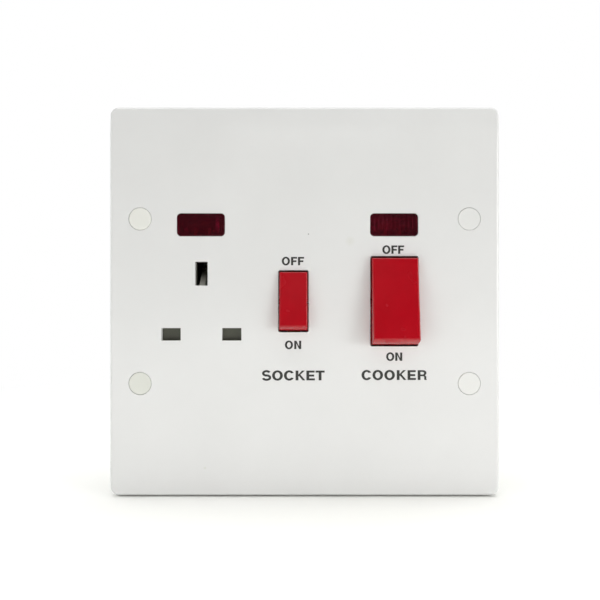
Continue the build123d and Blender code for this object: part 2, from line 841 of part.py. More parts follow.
# Terminal screws: slotted, backed out to the wall of the tunnel
screw_places = [(x, terminal_y, z) for x in (live_pole, neutral_pole)
                for z in (block_top - terminal_height / 2, terminal_height / 2 - block_top)]
earth_screw_z = earth_block_top - terminal_height / 2
screw_places += [(x, earth_terminal_y, earth_screw_z) for x in earth_tunnels]
with BuildPart() as terminal_screws:
    for x, y, z in screw_places:
        rear = y + terminal_side
        tip = y + terminal_side / 2 + terminal_bore / 2 + room
        rod_y(x, (tip, rear + room), z, screw_shank / 2)
        head = (rear + room, rear + room + screw_head_height)
        rod_y(x, head, z, screw_head / 2)
        slot = (head[1] - screw_slot, head[1])
        between(about(x, screw_head / 2), slot, about(z, screw_slot / 2), Mode.SUBTRACT)
save(terminal_screws, "terminal_screws")


# A room for a neon lamp behind its lens, with two saddles that carry the lamp and the resistor
def neon_room_walls(x):
    half_width = lens_width / 2 + lens_flange + room + housing_wall
    half_height = lens_height / 2 + lens_flange + room + housing_wall
    rear = lamp_room_rear + housing_wall
    between(about(x, half_width), (inner_y, rear), about(neon_z, half_height))


def neon_room_space(x):
    flange_rear = inner_y + lens_flange_thickness
    between(
        about(x, lens_width / 2 + lens_flange + room),
        (inner_y, flange_rear),
        about(neon_z, lens_height / 2 + lens_flange + room),
        Mode.SUBTRACT,
    )
    room_z = about(neon_z, lamp_room_height / 2)
    between(about(x, lamp_room_width / 2), (flange_rear, lamp_room_rear), room_z, Mode.SUBTRACT)


def neon_saddles(x):
    for side in (-1, 1):
        saddle = about(x + side * saddle_offset, saddle_thickness / 2)
        span = (lamp_y - lamp_radius, lamp_room_rear)
        between(saddle, span, (neon_z - lamp_room_height / 2, neon_z))
        rod_x(saddle, lamp_y, neon_z, lamp_radius + screw_clear, Mode.SUBTRACT)
        rod_x(saddle, resistor_y, neon_z, resistor_radius + screw_clear, Mode.SUBTRACT)


# The well behind a rocker: room for its swing, with two keepers that close the trunnion notches
def switch_well(x, aperture_width, aperture_height, floor):
    half = aperture_width / 2 + ear_thickness + well_gap
    half_height = aperture_height / 2 + well_gap
    between(about(x, half), (inner_y, floor), about(0, half_height), Mode.SUBTRACT)
    keeper_front = pivot_y + trunnion_radius + trunnion_gap
    for side in (-1, 1):
        near = aperture_width / 2 + 2 * screw_clear
        far = aperture_width / 2 + ear_thickness - 2 * screw_clear
        keeper = sorted((x + side * near, x + side * far))
        between(keeper, (keeper_front, floor), about(0, trunnion_radius - trunnion_gap))


def spigot_sockets(places, rear):
    for x, z in places:
        depth = (inner_y, inner_y + spigot_height + spigot_gap)
        rod_y(x, depth, z, spigot_radius + spigot_gap, Mode.SUBTRACT)
        rod_y(x, (inner_y, rear), z, case_screw_hole / 2, Mode.SUBTRACT)


lead_room = lead_radius + room
link_room = (link_height[0] - room, link_height[1] + room)

# Socket housing: carries the shutter, the clips, the socket's switch and the earth terminal
with BuildPart() as socket_housing:
    outer_x = (socket_housing_left, socket_housing_right)
    outer_z = (socket_housing_bottom, socket_housing_top)
    rear = socket_housing_rear
    between(outer_x, (inner_y, rear), outer_z)
    neon_room_walls(socket_neon_x)
    neon_room_space(socket_neon_x)
    neon_saddles(socket_neon_x)
    reach = blade_reach + shutter_gap
    recess_top = earth_z + earth_slot_height / 2 + room
    recess = (inner_y, recess_y)
    between(about(earth_x, reach), recess, (blade_bottom - shutter_travel - room, blade_top + room),
            Mode.SUBTRACT)
    stem_room = about(earth_x, stem_width / 2 + shutter_gap)
    between(stem_room, recess, (blade_top, recess_top), Mode.SUBTRACT)
    spring_room = about(earth_x, shutter_spring_radius + shutter_gap)
    between(spring_room, recess, (spring_ledge, blade_bottom), Mode.SUBTRACT)
    for x in (neutral_x, live_x):
        clip_half = line_pin_height / 2 + clip_wall + clip_flare
        between(
            about(x, line_pin_width / 2 + room),
            (recess_y, rear),
            about(line_z, clip_half),
            Mode.SUBTRACT,
        )
    earth_half = earth_pin_width / 2 + clip_wall + clip_flare
    earth_low = ramp_foot - shutter_travel - shutter_thickness - room
    between(about(earth_x, earth_half), (recess_y, rear), (earth_low, recess_top), Mode.SUBTRACT)
    strip_front = earth_strip_y - room
    between(
        (earth_x - earth_half, earth_block_left),
        (strip_front, rear),
        (strip_z[0] - room, strip_z[1] + room),
        Mode.SUBTRACT,
    )
    switch_well(socket_rocker_x, socket_aperture_width, socket_aperture_height, well_floor)
    chamber = about(socket_rocker_x, contact_width / 2 + 2 * room)
    between(chamber, (inner_y, rear), about(0, chamber_half_height - housing_wall), Mode.SUBTRACT)
    link_front = neutral_link_y - room
    between((neutral_x - line_pin_width / 2 - room, outer_x[1]), (link_front, rear), link_room, Mode.SUBTRACT)
    tail_room = about(neutral_x, line_pin_width / 2 + room)
    between(tail_room, (link_front, rear), (link_room[0], line_z), Mode.SUBTRACT)
    between(chamber, (terminal_y - room, rear), (link_room[0], 0), Mode.SUBTRACT)
    strip_front = neutral_link_rear - room
    riser_room = (riser[0] - room, riser[1] + room)
    line_band = (line_z - line_pin_height / 2 - room, line_z + line_pin_height / 2 + room)
    between((live_x, riser_room[1]), (strip_front, rear), line_band, Mode.SUBTRACT)
    between(riser_room, (strip_front, rear), (line_band[0], live_strip_top + room), Mode.SUBTRACT)
    rivet_band = about(rivet_place, strip_height / 2 + room)
    between((riser[0], socket_rocker_x), (strip_front, rear), rivet_band, Mode.SUBTRACT)
    block_room = about(earth_terminal_x, earth_block_width / 2 + room / 2)
    block_levels = (earth_block_bottom - room / 2, earth_block_top)
    between(block_room, (earth_terminal_y - room / 2, rear), block_levels, Mode.SUBTRACT)
    lead_front = lead_y - lead_room
    left_lead = about(socket_neon_x - near_x, lead_room)
    between(left_lead, (lead_front, rear), (clip_top, socket_housing_top), Mode.SUBTRACT)
    right_lead = about(socket_neon_x - inner_x, lead_room)
    between(right_lead, (lead_front, rear), (lead_level - lead_room, socket_housing_top), Mode.SUBTRACT)
    along = (right_lead[0], live_strip_x + lead_room)
    between(along, (lead_front, rear), about(lead_level, lead_room), Mode.SUBTRACT)
    down = about(live_strip_x, lead_room)
    between(down, (lead_front, rear), (live_strip_top, lead_level), Mode.SUBTRACT)
    for x in (socket_neon_x - near_x, socket_neon_x - inner_x):
        rod_y(x, (lamp_room_rear, lamp_room_rear + housing_wall), neon_z, lead_room, Mode.SUBTRACT)
    spigot_sockets(socket_screws, rear)
save(socket_housing, "socket_housing")

# Cooker switch housing: carries the double-pole switch and its four terminals
with BuildPart() as cooker_housing:
    outer_x = about(cooker_rocker_x, cooker_housing_width / 2)
    rear = cooker_housing_rear
    between(outer_x, (inner_y, rear), about(0, block_top))
    for x, z in cooker_screws:
        rod_y(x, (inner_y, rear), z, spigot_radius + housing_wall)
    neon_room_walls(cooker_neon_x)
    neon_room_space(cooker_neon_x)
    neon_saddles(cooker_neon_x)
    switch_well(cooker_rocker_x, cooker_aperture_width, cooker_aperture_height, well_floor)
    for pole, block_x in ((cooker_poles[0], live_pole), (cooker_poles[1], neutral_pole)):
        chamber = about(pole, contact_width / 2 + 2 * room)
        between(chamber, (well_floor, rear), about(0, chamber_half_height + strip), Mode.SUBTRACT)
        pocket = about(block_x, terminal_side / 2 + room / 2)
        low = block_top - terminal_height - room / 2
        between(pocket, (terminal_y - room / 2, rear), (low, block_top), Mode.SUBTRACT)
        between(pocket, (terminal_y - room / 2, rear), (-block_top, -low), Mode.SUBTRACT)
    between((outer_x[0], live_side), (terminal_y - room, rear), link_room, Mode.SUBTRACT)
    foot_room = (foot[0] - room, foot[1] + room)
    link_levels = (neutral_link_y - room, neutral_link_rear + room)
    between((outer_x[0], foot_room[1]), link_levels, link_room, Mode.SUBTRACT)
    between(foot_room, (neutral_link_y, terminal_y), link_room, Mode.SUBTRACT)
    for x in (cooker_neon_x - near_x, cooker_neon_x - inner_x):
        rod_y(x, (lamp_room_rear, lamp_room_rear + housing_wall), neon_z, lead_room, Mode.SUBTRACT)
    spigot_sockets(cooker_screws, rear)
save(cooker_housing, "cooker_housing")


# Rear covers: thin plates with holes over the terminal screws
def rear_cover(outer_x, outer_z, rear, ears, screws, terminals, label):
    with BuildPart() as cover:
        levels = (rear, rear + cover_thickness)
        between(outer_x, levels, outer_z)
        for x, z in ears:
            rod_y(x, levels, z, spigot_radius + housing_wall)
        for x, z in screws:
            rod_y(x, levels, z, case_screw_hole / 2, Mode.SUBTRACT)
        for x, z in terminals:
            rod_y(x, levels, z, cover_hole / 2, Mode.SUBTRACT)
    save(cover, label)


rear_cover(
    (socket_housing_left, socket_housing_right),
    (socket_housing_bottom, socket_housing_top),
    socket_housing_rear,
    [],
    socket_screws,
    [(x, earth_screw_z) for x in earth_tunnels],
    "socket_rear_cover",
)
rear_cover(
    about(cooker_rocker_x, cooker_housing_width / 2),
    about(0, block_top),
    cooker_housing_rear,
    cooker_screws,
    cooker_screws,
    [(x, z) for x, y, z in screw_places if y == terminal_y],
    "cooker_rear_cover",
)

# Housing screws: cross-slotted, through each cover and housing into the plate's spigots
with BuildPart() as housing_screws:
    for x, z, rear in case_screws:
        seat = rear + cover_thickness
        rod_y(x, (face_y + spigot_skin + room, seat), z, case_screw / 2)
        head = (seat, seat + case_screw_head_height)
        rod_y(x, head, z, case_screw_head / 2)
        slot = (head[1] - screw_slot, head[1])
        for wide, tall in ((case_screw, screw_slot), (screw_slot, case_screw)):
            between(about(x, wide / 2), slot, about(z, tall / 2), Mode.SUBTRACT)
save(housing_screws, "housing_screws")
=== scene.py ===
import json
import math

import bpy
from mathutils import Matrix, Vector


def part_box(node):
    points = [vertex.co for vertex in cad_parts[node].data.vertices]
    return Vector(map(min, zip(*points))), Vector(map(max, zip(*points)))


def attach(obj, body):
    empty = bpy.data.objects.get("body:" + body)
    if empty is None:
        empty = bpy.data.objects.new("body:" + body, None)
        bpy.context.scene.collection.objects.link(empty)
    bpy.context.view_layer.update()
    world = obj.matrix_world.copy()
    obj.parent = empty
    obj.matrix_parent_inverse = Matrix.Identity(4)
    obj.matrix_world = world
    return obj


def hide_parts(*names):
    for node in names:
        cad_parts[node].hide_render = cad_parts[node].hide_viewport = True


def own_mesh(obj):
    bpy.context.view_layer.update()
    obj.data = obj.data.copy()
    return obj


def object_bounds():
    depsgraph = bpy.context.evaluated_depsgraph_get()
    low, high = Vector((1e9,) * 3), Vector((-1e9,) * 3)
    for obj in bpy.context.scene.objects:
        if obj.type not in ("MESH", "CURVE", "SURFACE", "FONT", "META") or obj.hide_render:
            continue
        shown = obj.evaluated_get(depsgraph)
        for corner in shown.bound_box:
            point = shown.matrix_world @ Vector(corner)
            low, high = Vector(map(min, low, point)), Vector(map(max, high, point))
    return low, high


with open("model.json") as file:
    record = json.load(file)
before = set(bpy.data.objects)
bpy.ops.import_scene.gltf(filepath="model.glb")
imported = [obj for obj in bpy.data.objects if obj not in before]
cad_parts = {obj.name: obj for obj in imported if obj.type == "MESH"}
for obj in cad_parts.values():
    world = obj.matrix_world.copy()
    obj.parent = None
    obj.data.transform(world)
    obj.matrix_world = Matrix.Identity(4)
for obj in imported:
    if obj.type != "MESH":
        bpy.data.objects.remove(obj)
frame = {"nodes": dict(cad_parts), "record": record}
cad_low, cad_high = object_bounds()

MM = 0.001
face_low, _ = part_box("front_plate")
FACE_Y = face_low.y
FLOOR_Z = cad_low.z - 0.5 * MM
PIVOT_Y = FACE_Y + 2.2 * MM
RAMP_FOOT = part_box("shutter")[1].z - 6 * MM
EARTH_X = (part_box("shutter")[0].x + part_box("shutter")[1].x) / 2
EARTH_Z = RAMP_FOOT + 4.8 * MM

# Camera: square on, a little left of the middle, as far off as the sides of the rockers show
VIEW_DISTANCE = 215 * MM
VIEW_X = -1.7 * MM
VIEW_Z = 0.45 * MM
PIXELS_PER_MM = 2.73
IMAGE_PIXELS = 600
SENSOR = 36.0

# Softboxes left and right, one overhead that lights the floor and the top edge, and a narrow one
# above and behind the camera that shows as a faint band where the face starts to roll back.
# A low card in front of the plate stands for the light that the pale floor throws back. It is
# hidden from the camera and from reflections.
SIDE_ANGLE = 57
SIDE_DISTANCE = 0.75
SIDE_SIZE = (0.34, 0.55)
LEFT_POWER = 0.8
RIGHT_POWER = 2.85
LEFT_RISE = 0.12
RIGHT_RISE = 0.0
TOP_HEIGHT = 1.8
TOP_SIZE = (2.0, 1.35)
TOP_POWER = 21
BAND_PLACE = (0.015, -1.0, 0.38)
BAND_SIZE = (0.33, 0.06)
BAND_POWER = 0.08
BOUNCE_PLACE = (0.005, -0.1, -0.069)
BOUNCE_SIZE = (0.3, 0.06)
BOUNCE_POWER = 0.058


def linear(red, green, blue):
    """A colour from its 0 to 255 screen values."""
    def channel(value):
        v = value / 255
        return v / 12.92 if v <= 0.04045 else ((v + 0.055) / 1.055) ** 2.4
    return (channel(red), channel(green), channel(blue), 1.0)


def millimetres(values):
    """Millimetres as metres."""
    return tuple(value * MM for value in values)


# Screw caps, from the middle of the plate in millimetres, and their tones
CAP_RADIUS = 4.1
SCREW_CAPS = [
    (-60.3, 30.15, linear(232, 232, 226)),
    (60.3, 30.15, linear(228, 228, 226)),
    (-60.3, -30.15, linear(219, 220, 212)),
    (60.3, -30.15, linear(228, 228, 225)),
]

# Marks on the face: place in millimetres, radius, soft edge, colour
PLATE_MARKS = [
    (1.4, 24.6, 0.12, 0.2, linear(150, 150, 145)),
    (16.6, 22.0, 0.5, 1.6, linear(222, 222, 218)),
    (-36.5, -61.1, 0.15, 0.5, linear(216, 217, 211)),
]

# Paler places in the windows: place, radius, soft edge, how narrow, colour
LENS_GLOWS = [
    (-32.0, 28.2, 0.4, 3.4, 3.4, linear(205, 24, 84)),
    (-46.3, 28.0, 1.5, 3.0, 9.0, linear(190, 26, 72)),
    (28.5, 28.0, 0.8, 5.0, 1.0, linear(166, 24, 58)),
]


# Upright lines in the cooker's window, in millimetres: pitch, and how they start and fade upright
LENS_RIB_PITCH = 1.55
LENS_RIB_EDGE = (0.62, 0.76)
LENS_RIB_FOOT = (26.0, 26.8)
LENS_RIB_TOP = (30.4, 31.2)

# Bands on the resistors: start along the body in millimetres, and colour
BAND_WIDTH = 0.6
RESISTOR_BANDS = [
    (1.1, linear(150, 92, 40)),
    (2.2, linear(40, 38, 36)),
    (3.3, linear(196, 168, 40)),
    (5.2, linear(176, 140, 70)),
]


class Shader:
    """A node material with one Principled shader, in the object's own metres."""

    def __init__(self, name):
        self.material = bpy.data.materials.new(name)
        self.material.use_nodes = True
        self.tree = self.material.node_tree
        self.tree.nodes.clear()
        self.surface = self.add("ShaderNodeBsdfPrincipled")
        output = self.add("ShaderNodeOutputMaterial")
        self.link(self.surface.outputs["BSDF"], output.inputs["Surface"])
        self.place = self.add("ShaderNodeTexCoord").outputs["Object"]

    def add(self, kind, **settings):
        node = self.tree.nodes.new(kind)
        for key, value in settings.items():
            setattr(node, key, value)
        return node

    def link(self, source, target):
        self.tree.links.new(source, target)

    def set(self, **values):
        for key, value in values.items():
            self.surface.inputs[key.replace("_", " ")].default_value = value

    def stretched(self, scale):
        mapping = self.add("ShaderNodeMapping")
        mapping.inputs["Scale"].default_value = scale
        self.link(self.place, mapping.inputs["Vector"])
        return mapping.outputs["Vector"]

    def axes(self):
        """The place as separate X, Y and Z."""
        node = self.add("ShaderNodeSeparateXYZ")
        self.link(self.place, node.inputs["Vector"])
        return node.outputs

    def noise(self, size, detail=3.0, roughness=0.55, place=None):
        """Noise whose patches are about size metres across."""
        node = self.add("ShaderNodeTexNoise")
        node.inputs["Scale"].default_value = 1 / size
        node.inputs["Detail"].default_value = detail
        node.inputs["Roughness"].default_value = roughness
        self.link(place or self.place, node.inputs["Vector"])
        return node.outputs["Fac"]

    def ranged(self, value, low, high, source=(0.3, 0.7)):
        node = self.add("ShaderNodeMapRange")
        node.inputs["From Min"].default_value = source[0]
        node.inputs["From Max"].default_value = source[1]
        node.inputs["To Min"].default_value = low
        node.inputs["To Max"].default_value = high
        self.link(value, node.inputs["Value"])
        return node.outputs["Result"]

    def math(self, operation, first, second):
        node = self.add("ShaderNodeMath", operation=operation)
        for socket, value in zip(node.inputs, (first, second)):
            if isinstance(value, float):
                socket.default_value = value
            else:
                self.link(value, socket)
        return node.outputs["Value"]

    def mixed(self, factor, first, second):
        node = self.add("ShaderNodeMix", data_type="RGBA")
        self.link(factor, node.inputs["Factor"])
        for key, value in (("A", first), ("B", second)):
            socket = next(s for s in node.inputs if s.name == key and s.type == "RGBA")
            if isinstance(value, tuple):
                socket.default_value = value
            else:
                self.link(value, socket)
        return next(s for s in node.outputs if s.type == "RGBA")

    def colour(self, value):
        self.link(value, self.surface.inputs["Base Color"])

    def rough(self, value):
        self.link(value, self.surface.inputs["Roughness"])

    def bump(self, height, depth):
        """Bump from a height of 0 to 1 that stands for depth metres."""
        node = self.add("ShaderNodeBump")
        node.inputs["Strength"].default_value = 1.0
        node.inputs["Distance"].default_value = depth
        self.link(height, node.inputs["Height"])
        self.link(node.outputs["Normal"], self.surface.inputs["Normal"])

    def spot(self, x, z, radius, soft, squash=1.0):
        """1 inside a round spot seen from the front, 0 outside. Squash above 1 makes it narrow."""
        node = self.add("ShaderNodeVectorMath", operation="DISTANCE")
        self.link(self.stretched((squash, 0, 1)), node.inputs[0])
        node.inputs[1].default_value = (x * squash, 0, z)
        return self.ranged(node.outputs["Value"], 1.0, 0.0, (radius, radius + soft))


def moulded(name, light, dark, roughness, grain, depth, patches=12 * MM):
    """Moulded plastic: two near tones in slow patches, a fine grain and an uneven gloss."""
    shader = Shader(name)
    shader.colour(shader.mixed(shader.ranged(shader.noise(patches), 0.0, 1.0), dark, light))
    gloss = shader.noise(6 * MM, detail=1.0)
    shader.rough(shader.ranged(gloss, roughness - 0.04, roughness + 0.05, (0.2, 0.8)))
    shader.bump(shader.noise(grain, detail=2.0), depth)
    shader.set(IOR=1.5)
    return shader


def metal(name, light, dark, roughness, along=(1, 1, 1), scratch=0.6 * MM, depth=3e-6):
    """Rolled, drawn or plated metal: fine streaks along its length and slow tarnish."""
    shader = Shader(name)
    streaks = shader.noise(scratch, detail=4.0, place=shader.stretched(along))
    tone = shader.math("MULTIPLY", shader.noise(5 * MM), streaks)
    shader.colour(shader.mixed(shader.ranged(tone, 0.0, 1.0, (0.12, 0.4)), dark, light))
    shader.rough(shader.ranged(streaks, roughness - 0.07, roughness + 0.1))
    shader.bump(streaks, depth)
    shader.set(Metallic=1.0)
    return shader


def plate_plastic():
    """Glossy white with the three small marks of the photographed one."""
    shader = moulded(
        "plate_plastic",
        linear(228, 228, 227),
        linear(225, 225, 224),
        roughness=0.14,
        grain=1.6 * MM,
        depth=1.2e-6,
        patches=30 * MM,
    )
    colour = shader.surface.inputs["Base Color"].links[0].from_socket
    for x, z, tone in SCREW_CAPS:
        colour = shader.mixed(shader.spot(x * MM, z * MM, CAP_RADIUS * MM, 0.1 * MM), colour, tone)
    for x, z, radius, soft, mark in PLATE_MARKS:
        colour = shader.mixed(shader.spot(x * MM, z * MM, radius * MM, soft * MM), colour, mark)
    shader.colour(colour)
    return shader


def red_plastic():
    """Glossy red, with painted shade on the pivot pins where they show in the gap behind the face.
    """
    shader = moulded(
        "red_plastic",
        linear(171, 3, 22),
        linear(163, 2, 19),
        roughness=0.24,
        grain=1.4 * MM,
        depth=4e-7,
        patches=9 * MM,
    )
    # Painted shade: the pivot pins go dark where they show in the gap behind the face.
    across = shader.stretched((0, 1, 1))
    away = shader.add("ShaderNodeVectorMath", operation="DISTANCE")
    shader.link(across, away.inputs[0])
    away.inputs[1].default_value = (0, PIVOT_Y, 0)
    pin = shader.ranged(away.outputs["Value"], 1.0, 0.0, (1.05 * MM, 1.3 * MM))
    colour = shader.surface.inputs["Base Color"].links[0].from_socket
    shader.colour(shader.mixed(pin, colour, linear(44, 10, 12)))
    shader.set(Specular_IOR_Level=0.34)
    return shader


def red_lens():
    """Clear dark red, a little uneven in its gloss."""
    shader = Shader("red_lens")
    shader.rough(shader.ranged(shader.noise(3 * MM), 0.1, 0.2))
    shader.bump(shader.noise(2.5 * MM, detail=1.0), 4e-6)
    tone = shader.ranged(shader.noise(6 * MM), 0.0, 1.0)
    colour = shader.mixed(tone, linear(132, 12, 44), linear(148, 16, 50))
    for x, z, radius, soft, squash, glow in LENS_GLOWS:
        inside = shader.spot(x * MM, z * MM, radius * MM, soft * MM, squash)
        colour = shader.mixed(inside, colour, glow)
    axes = shader.axes()
    wave = shader.math("PINGPONG", axes["X"], LENS_RIB_PITCH / 2 * MM)
    ribs = shader.ranged(wave, 0.0, 1.0, millimetres(LENS_RIB_EDGE))
    cooker_side = shader.ranged(axes["X"], 0.0, 1.0, (0, 1 * MM))
    above = shader.ranged(axes["Z"], 0.0, 1.0, millimetres(LENS_RIB_FOOT))
    below = shader.ranged(axes["Z"], 1.0, 0.0, millimetres(LENS_RIB_TOP))
    for limit in (cooker_side, above, below):
        ribs = shader.math("MULTIPLY", ribs, limit)
    shader.colour(shader.mixed(ribs, colour, linear(205, 52, 84)))
    clear = shader.ranged(ribs, 0.92, 0.76, (0.0, 1.0))
    shader.link(clear, shader.surface.inputs["Transmission Weight"])
    shader.set(IOR=1.49)
    return shader


def lamp_glass():
    """Clear glass of the neon lamps, greyed by the deposit inside."""
    shader = Shader("lamp_glass")
    shader.rough(shader.ranged(shader.noise(1.5 * MM), 0.05, 0.3))
    tone = shader.ranged(shader.noise(3 * MM), 0.0, 1.0)
    shader.colour(shader.mixed(tone, linear(225, 214, 200), linear(170, 160, 150)))
    shader.bump(shader.noise(2 * MM), 8e-6)
    shader.set(Transmission_Weight=0.6, IOR=1.45)
    return shader


def shutter_plastic():
    """Grey, with painted light at the foot of the ramp where the earth pin meets it: pale there for
    the light that reaches in through the earth slot.
    """
    shader = moulded(
        "shutter_plastic", linear(84, 85, 73), linear(77, 78, 66), 0.4, 0.4 * MM, 5e-6
    )
    # Painted light: the foot of the ramp is made pale for the light that falls in through the earth
    # slot.
    height = shader.axes()["Z"]
    rising = shader.ranged(height, 0.0, 1.0, (1 * MM, 3 * MM))
    fading = shader.ranged(height, 1.0, 0.0, (RAMP_FOOT + 1.2 * MM, RAMP_FOOT + 5 * MM))
    painted_light = shader.math("MULTIPLY", rising, fading)
    colour = shader.surface.inputs["Base Color"].links[0].from_socket
    shader.colour(shader.mixed(painted_light, colour, linear(248, 247, 236)))
    return shader


def resistor_body():
    """Lacquered body with four plain bands round it."""
    shader = moulded(
        "resistor_body", linear(205, 178, 138), linear(192, 164, 124), 0.35, 0.5 * MM, 5e-6, 2 * MM
    )
    left, right = (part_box(f"{name}_neon_resistor")[0].x for name in ("socket", "cooker"))
    along = shader.math("SUBTRACT", shader.axes()["X"], left)
    along = shader.math("MODULO", shader.math("MAXIMUM", along, 0.0), right - left)
    colour = shader.surface.inputs["Base Color"].links[0].from_socket
    for start, band in RESISTOR_BANDS:
        inside = shader.math("COMPARE", along, (start + BAND_WIDTH / 2) * MM)
        inside.node.inputs[2].default_value = BAND_WIDTH / 2 * MM
        colour = shader.mixed(inside, colour, band)
    shader.colour(colour)
    return shader


def print_ink():
    """Pad-printed dark grey ink, thin enough to mottle."""
    shader = Shader("print_ink")
    tone = shader.ranged(shader.noise(0.35 * MM, detail=4.0), 0.0, 1.0)
    shader.colour(shader.mixed(tone, linear(38, 38, 36), linear(52, 52, 49)))
    shader.rough(shader.ranged(shader.noise(0.5 * MM), 0.35, 0.55))
    shader.bump(shader.noise(0.2 * MM), 3e-6)
    return shader


LENGTHWISE = (0.05, 1, 1)
UPRIGHT = (1, 1, 0.05)

finishes = {
    "plate_plastic": plate_plastic(),
    "housing_plastic": moulded(
        "housing_plastic", linear(228, 226, 218), linear(218, 216, 207), 0.42, 0.35 * MM, 8e-6
    ),
    "cover_plastic": moulded(
        "cover_plastic", linear(231, 229, 222), linear(222, 220, 212), 0.45, 0.3 * MM, 1e-5
    ),
    "shutter_plastic": shutter_plastic(),
    "red_plastic": red_plastic(),
    "red_lens": red_lens(),
    "lamp_glass": lamp_glass(),
    "resistor_body": resistor_body(),
    "plunger_plastic": moulded(
        "plunger_plastic", linear(236, 234, 226), linear(226, 223, 212), 0.38, 0.4 * MM, 4e-6
    ),
    "steel_spring": metal("steel_spring", linear(200, 200, 198), linear(150, 150, 148), 0.28),
    "tinned_wire": metal("tinned_wire", linear(222, 222, 220), linear(176, 176, 174), 0.3),
    "silver_contact": metal("silver_contact", linear(236, 235, 230), linear(198, 196, 188), 0.26),
    "brass": metal("brass", linear(222, 190, 118), linear(186, 148, 78), 0.27, LENGTHWISE),
    "zinc_steel": metal("zinc_steel", linear(208, 210, 214), linear(164, 167, 172), 0.3, UPRIGHT),
}


def paint_passage_shade(shader, dark, reach):
    """Paints shade on what shows in the earth pin's passage, down to a depth of reach."""
    inside = shader.spot(EARTH_X, EARTH_Z, 5 * MM, 1.5 * MM)
    near = shader.ranged(shader.axes()["Y"], 1.0, 0.0, (reach - 3 * MM, reach))
    colour = shader.surface.inputs["Base Color"].links[0].from_socket
    shader.colour(shader.mixed(shader.math("MULTIPLY", inside, near), colour, dark))


# Painted shade: the housing and the brass of the earth clip go dark deep in the earth pin's
# passage.
paint_passage_shade(finishes["housing_plastic"], linear(72, 72, 60), 8 * MM)
paint_passage_shade(finishes["brass"], linear(84, 82, 68), 20 * MM)


def dress_frame():
    """Gives every CAD node the finish of its slot in the record."""
    for row in frame["record"]["subparts"]:
        node = frame["nodes"][row["node"]]
        for slot in node.material_slots:
            slot.material = finishes[row["material_slot"]].material


# Letters in thousandths of the type size, as outlines and holes, with cap height 718
CAP_HEIGHT = 718
STEM = 182
BAR = 148
ADVANCE = {"O": 778, "F": 611, "N": 722, "S": 667, "C": 722, "K": 722, "E": 667, "T": 611, "R": 722}


def arc(x, y, across, up, start, end, steps=40):
    turns = (math.radians(start + (end - start) * i / steps) for i in range(steps + 1))
    return [(x + across * math.cos(a), y + up * math.sin(a)) for a in turns]


def thickened(spine, thickness):
    """The outline of a stroke that follows a smooth line."""
    left, right = [], []
    for i, (x, y) in enumerate(spine):
        ax, ay = spine[max(i - 1, 0)]
        bx, by = spine[min(i + 1, len(spine) - 1)]
        length = math.hypot(bx - ax, by - ay)
        dx, dy = (by - ay) / length, (ax - bx) / length
        left.append((x + dx * thickness / 2, y + dy * thickness / 2))
        right.append((x - dx * thickness / 2, y - dy * thickness / 2))
    return left + right[::-1]


def letter_outlines(letter):
    top = CAP_HEIGHT
    if letter == "E":
        stem = 76 + STEM
        return [[(76, 0), (76, top), (607, top), (607, top - BAR), (stem, top - BAR), (stem, 428),
                 (575, 428), (575, 428 - BAR), (stem, 428 - BAR), (stem, BAR), (621, BAR),
                 (621, 0)]]
    if letter == "F":
        stem = 76 + STEM
        return [[(76, 0), (76, top), (587, top), (587, top - BAR), (stem, top - BAR), (stem, 422),
                 (530, 422), (530, 422 - BAR), (stem, 422 - BAR), (stem, 0)]]
    if letter == "T":
        left = 306 - STEM / 2
        right = 306 + STEM / 2
        return [[(14, top), (598, top), (598, top - BAR), (right, top - BAR), (right, 0),
                 (left, 0), (left, top - BAR), (14, top - BAR)]]
    if letter == "N":
        near, far = 66 + STEM, 658 - STEM
        return [[(66, 0), (66, top), (near + 6, top), (far, 240), (far, top), (658, top),
                 (658, 0), (far - 6, 0), (near, 478), (near, 0)]]
    if letter == "K":
        stem = 87 + STEM
        return [[(87, 0), (87, top), (stem, top), (stem, 430), (499, top), (685, top), (398, 423),
                 (718, 0), (540, 0), (296, 330), (stem, 262), (stem, 0)]]
    if letter == "O":
        inside = arc(389, 359, 345 - STEM, 378 - BAR, 0, 360)[:-1]
        return [arc(389, 359, 345, 378, 0, 360)[:-1], inside]
    if letter == "C":
        inside = arc(382, 359, 338 - STEM, 378 - BAR, 320, 40)
        return [arc(380, 359, 338, 378, 30, 330) + inside]
    if letter == "S":
        spine = arc(332, 516, 206, 158, 22, 265) + arc(336, 204, 226, 158, 83, -166)
        return [thickened(spine, BAR + 8)]
    stem = 76 + STEM
    bowl = [(76, 0), (76, top), (430, top)] + arc(430, 517, 218, 201, 88, -58)
    leg = [(606, 300), (638, 235), (643, 80), (677, 18), (677, 0), (520, 0), (503, 60), (500, 190)]
    under = arc(430, 204, 70, 70, 10, 90, 8) + [(stem, 274), (stem, 0)]
    counter = arc(404, 496, 82, 94, 88, -88, 16)
    hole = [(stem, 402), (stem, 590), (404, 590)] + counter + [(404, 402)]
    return [bowl + leg + under, hole]


PRINT_FRONT = 0.012 * MM
PRINT_BACK = 0.01 * MM


